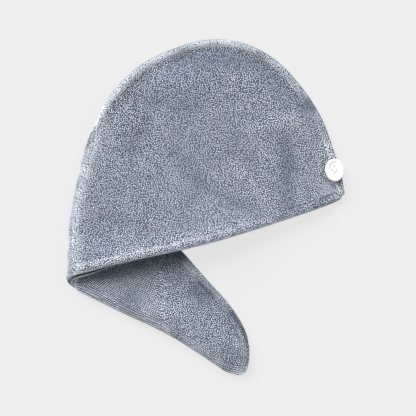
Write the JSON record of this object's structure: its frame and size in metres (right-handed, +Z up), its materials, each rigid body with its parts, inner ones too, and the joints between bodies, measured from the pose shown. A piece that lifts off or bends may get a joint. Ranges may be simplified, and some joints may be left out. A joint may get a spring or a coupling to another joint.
{
  "type": "hair turban towel",
  "caption": "Terry hair turban lying flat: a hood with a hemmed opening, a long tail folded under it and a round button at the front of the seam.",
  "frame": {"origin": "on the floor under the middle of the whole turban as it lies", "axes": "+X along the hem of the opening towards the front and its button, +Y from the hem towards the crown, +Z up off the floor"},
  "size_m": [0.3528, 0.3978, 0.033],
  "materials": {
    "front_terry": "short-pile microfibre terry, grey-blue, matt",
    "back_terry": "short-pile microfibre terry, grey-blue, matt",
    "button_plastic": "white moulded plastic, softly glossy",
    "sewing_thread": "white polyester thread"
  },
  "bodies": {
    "root": {"front_panel": "front_terry", "back_panel": "back_terry", "button": "button_plastic", "button_thread": "sewing_thread"}
  },
  "joints": []
}
